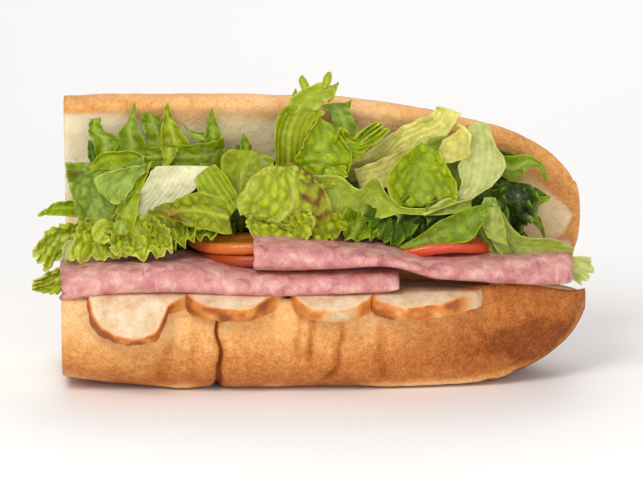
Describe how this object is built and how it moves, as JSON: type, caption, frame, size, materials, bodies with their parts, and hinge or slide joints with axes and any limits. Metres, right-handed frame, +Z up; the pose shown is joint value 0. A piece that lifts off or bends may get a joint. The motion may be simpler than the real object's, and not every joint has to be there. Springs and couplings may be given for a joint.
{
  "type": "baguette sandwich",
  "caption": "Open half baguette standing on its crust base, lid leaning back, filled with sliced chicken, folded ham, tomato and mixed lettuce.",
  "frame": {"origin": "middle of the flat base that the sandwich stands on", "axes": "+Z up, +X along the loaf towards its round tip, -Y towards the open side of the slit"},
  "size_m": [0.2247, 0.1059, 0.1255],
  "materials": {
    "crust": "baked crust, golden on top and brown at the base and tip, with cream crumb on the cut faces",
    "chicken": "pale roast chicken with a browned edge",
    "ham": "moist pink cooked ham, mottled",
    "tomato": "wet red tomato",
    "tomato_orange": "wet orange tomato",
    "lettuce": "crisp mixed lettuce, yellow green to dark green"
  },
  "bodies": {
    "root": {"bread": "crust", "chicken_1": "chicken", "chicken_2": "chicken", "chicken_3": "chicken", "chicken_4": "chicken", "ham_left": "ham", "ham_right": "ham", "tomato_left_low": "tomato_orange", "tomato_left_top": "tomato_orange", "tomato_right": "tomato", "lettuce": "lettuce"}
  },
  "joints": []
}
